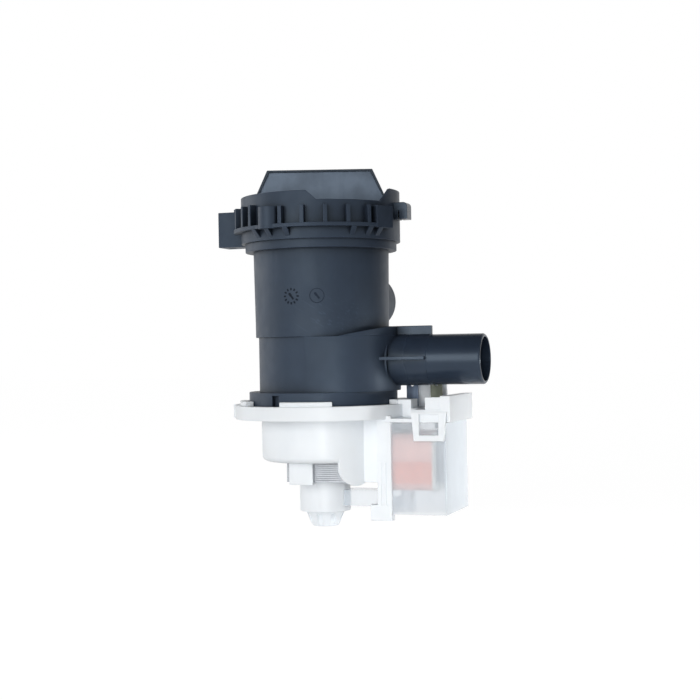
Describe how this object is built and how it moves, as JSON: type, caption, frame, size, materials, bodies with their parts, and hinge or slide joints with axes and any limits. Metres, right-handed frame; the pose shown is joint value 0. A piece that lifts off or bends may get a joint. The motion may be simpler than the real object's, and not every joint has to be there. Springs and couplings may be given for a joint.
{
  "type": "washer drain pump",
  "caption": "Washing machine drain pump: upright filter barrel with a screw-in lint filter and wing handle, hose spigots, and a canned-rotor motor held by a bayonet ring.",
  "frame": {"origin": "on the pump axis, in the plane of the underside of the shoulder ring below the collar", "axes": "+Z along the pump axis towards the filter cap, +X along the outlet spigot, +Y along the inlet stub"},
  "size_m": [0.1444, 0.1286, 0.1878],
  "materials": {
    "housing_plastic": "moulded, satin",
    "filter_plastic": "moulded, satin",
    "white_plastic": "moulded, slightly translucent",
    "clear_plastic": "clear, slightly milky",
    "seal_rubber": "matte",
    "carrier_plastic": "moulded",
    "bush_bronze": "sintered",
    "shaft_steel": "ground",
    "magnet_ferrite": "sintered",
    "hub_plastic": "moulded",
    "washer_plastic": "smooth",
    "impeller_plastic": "moulded",
    "core_steel": "laminated sheet",
    "bobbin_plastic": "moulded",
    "winding_tape": "taped copper winding",
    "terminal_metal": "tinned"
  },
  "bodies": {
    "housing": {"pump_housing": "housing_plastic", "motor_body": "white_plastic", "rotor_can": "white_plastic", "coil_cover": "clear_plastic", "body_seal": "seal_rubber", "can_seal": "seal_rubber", "shaft_seal": "seal_rubber", "front_damper": "seal_rubber", "rear_damper": "seal_rubber", "bearing_carrier": "carrier_plastic", "front_bush": "bush_bronze", "rear_bush": "bush_bronze", "stator_core": "core_steel", "bobbin_front": "bobbin_plastic", "bobbin_rear": "bobbin_plastic", "winding_front": "winding_tape", "winding_rear": "winding_tape", "terminal_left": "terminal_metal", "terminal_right": "terminal_metal"},
    "filter_seal": {"cap_seal": "seal_rubber"},
    "filter": {"filter_cap": "filter_plastic", "filter_basket": "filter_plastic"},
    "rotor": {"rotor_shaft": "shaft_steel", "rotor_magnet": "magnet_ferrite", "magnet_hub": "hub_plastic", "thrust_washers": "washer_plastic", "drive_dog": "hub_plastic"},
    "impeller": {"impeller": "impeller_plastic", "impeller_cap": "impeller_plastic"}
  },
  "joints": [
    {"name": "filter_withdraw", "type": "slide", "parent": "housing", "child": "filter_seal", "axis": [0, 0, 1], "range_m": [0, 0.083]},
    {"name": "filter_turn", "type": "hinge", "parent": "filter_seal", "child": "filter", "pos_m": [0, 0, 0], "axis": [0, 0, 1], "range_deg": [0, 1350]},
    {"name": "rotor_spin", "type": "hinge", "parent": "housing", "child": "rotor", "pos_m": [0, 0, -0.1093], "axis": [0, 0, 1], "continuous": true},
    {"name": "impeller_play", "type": "hinge", "parent": "rotor", "child": "impeller", "pos_m": [0, 0, -0.065], "axis": [0, 0, 1], "range_deg": [-204, 0]}
  ],
  "couplings": [
    {"joint": "filter_withdraw", "follows": "filter_turn", "m_per_rad": 0.0035014}
  ]
}
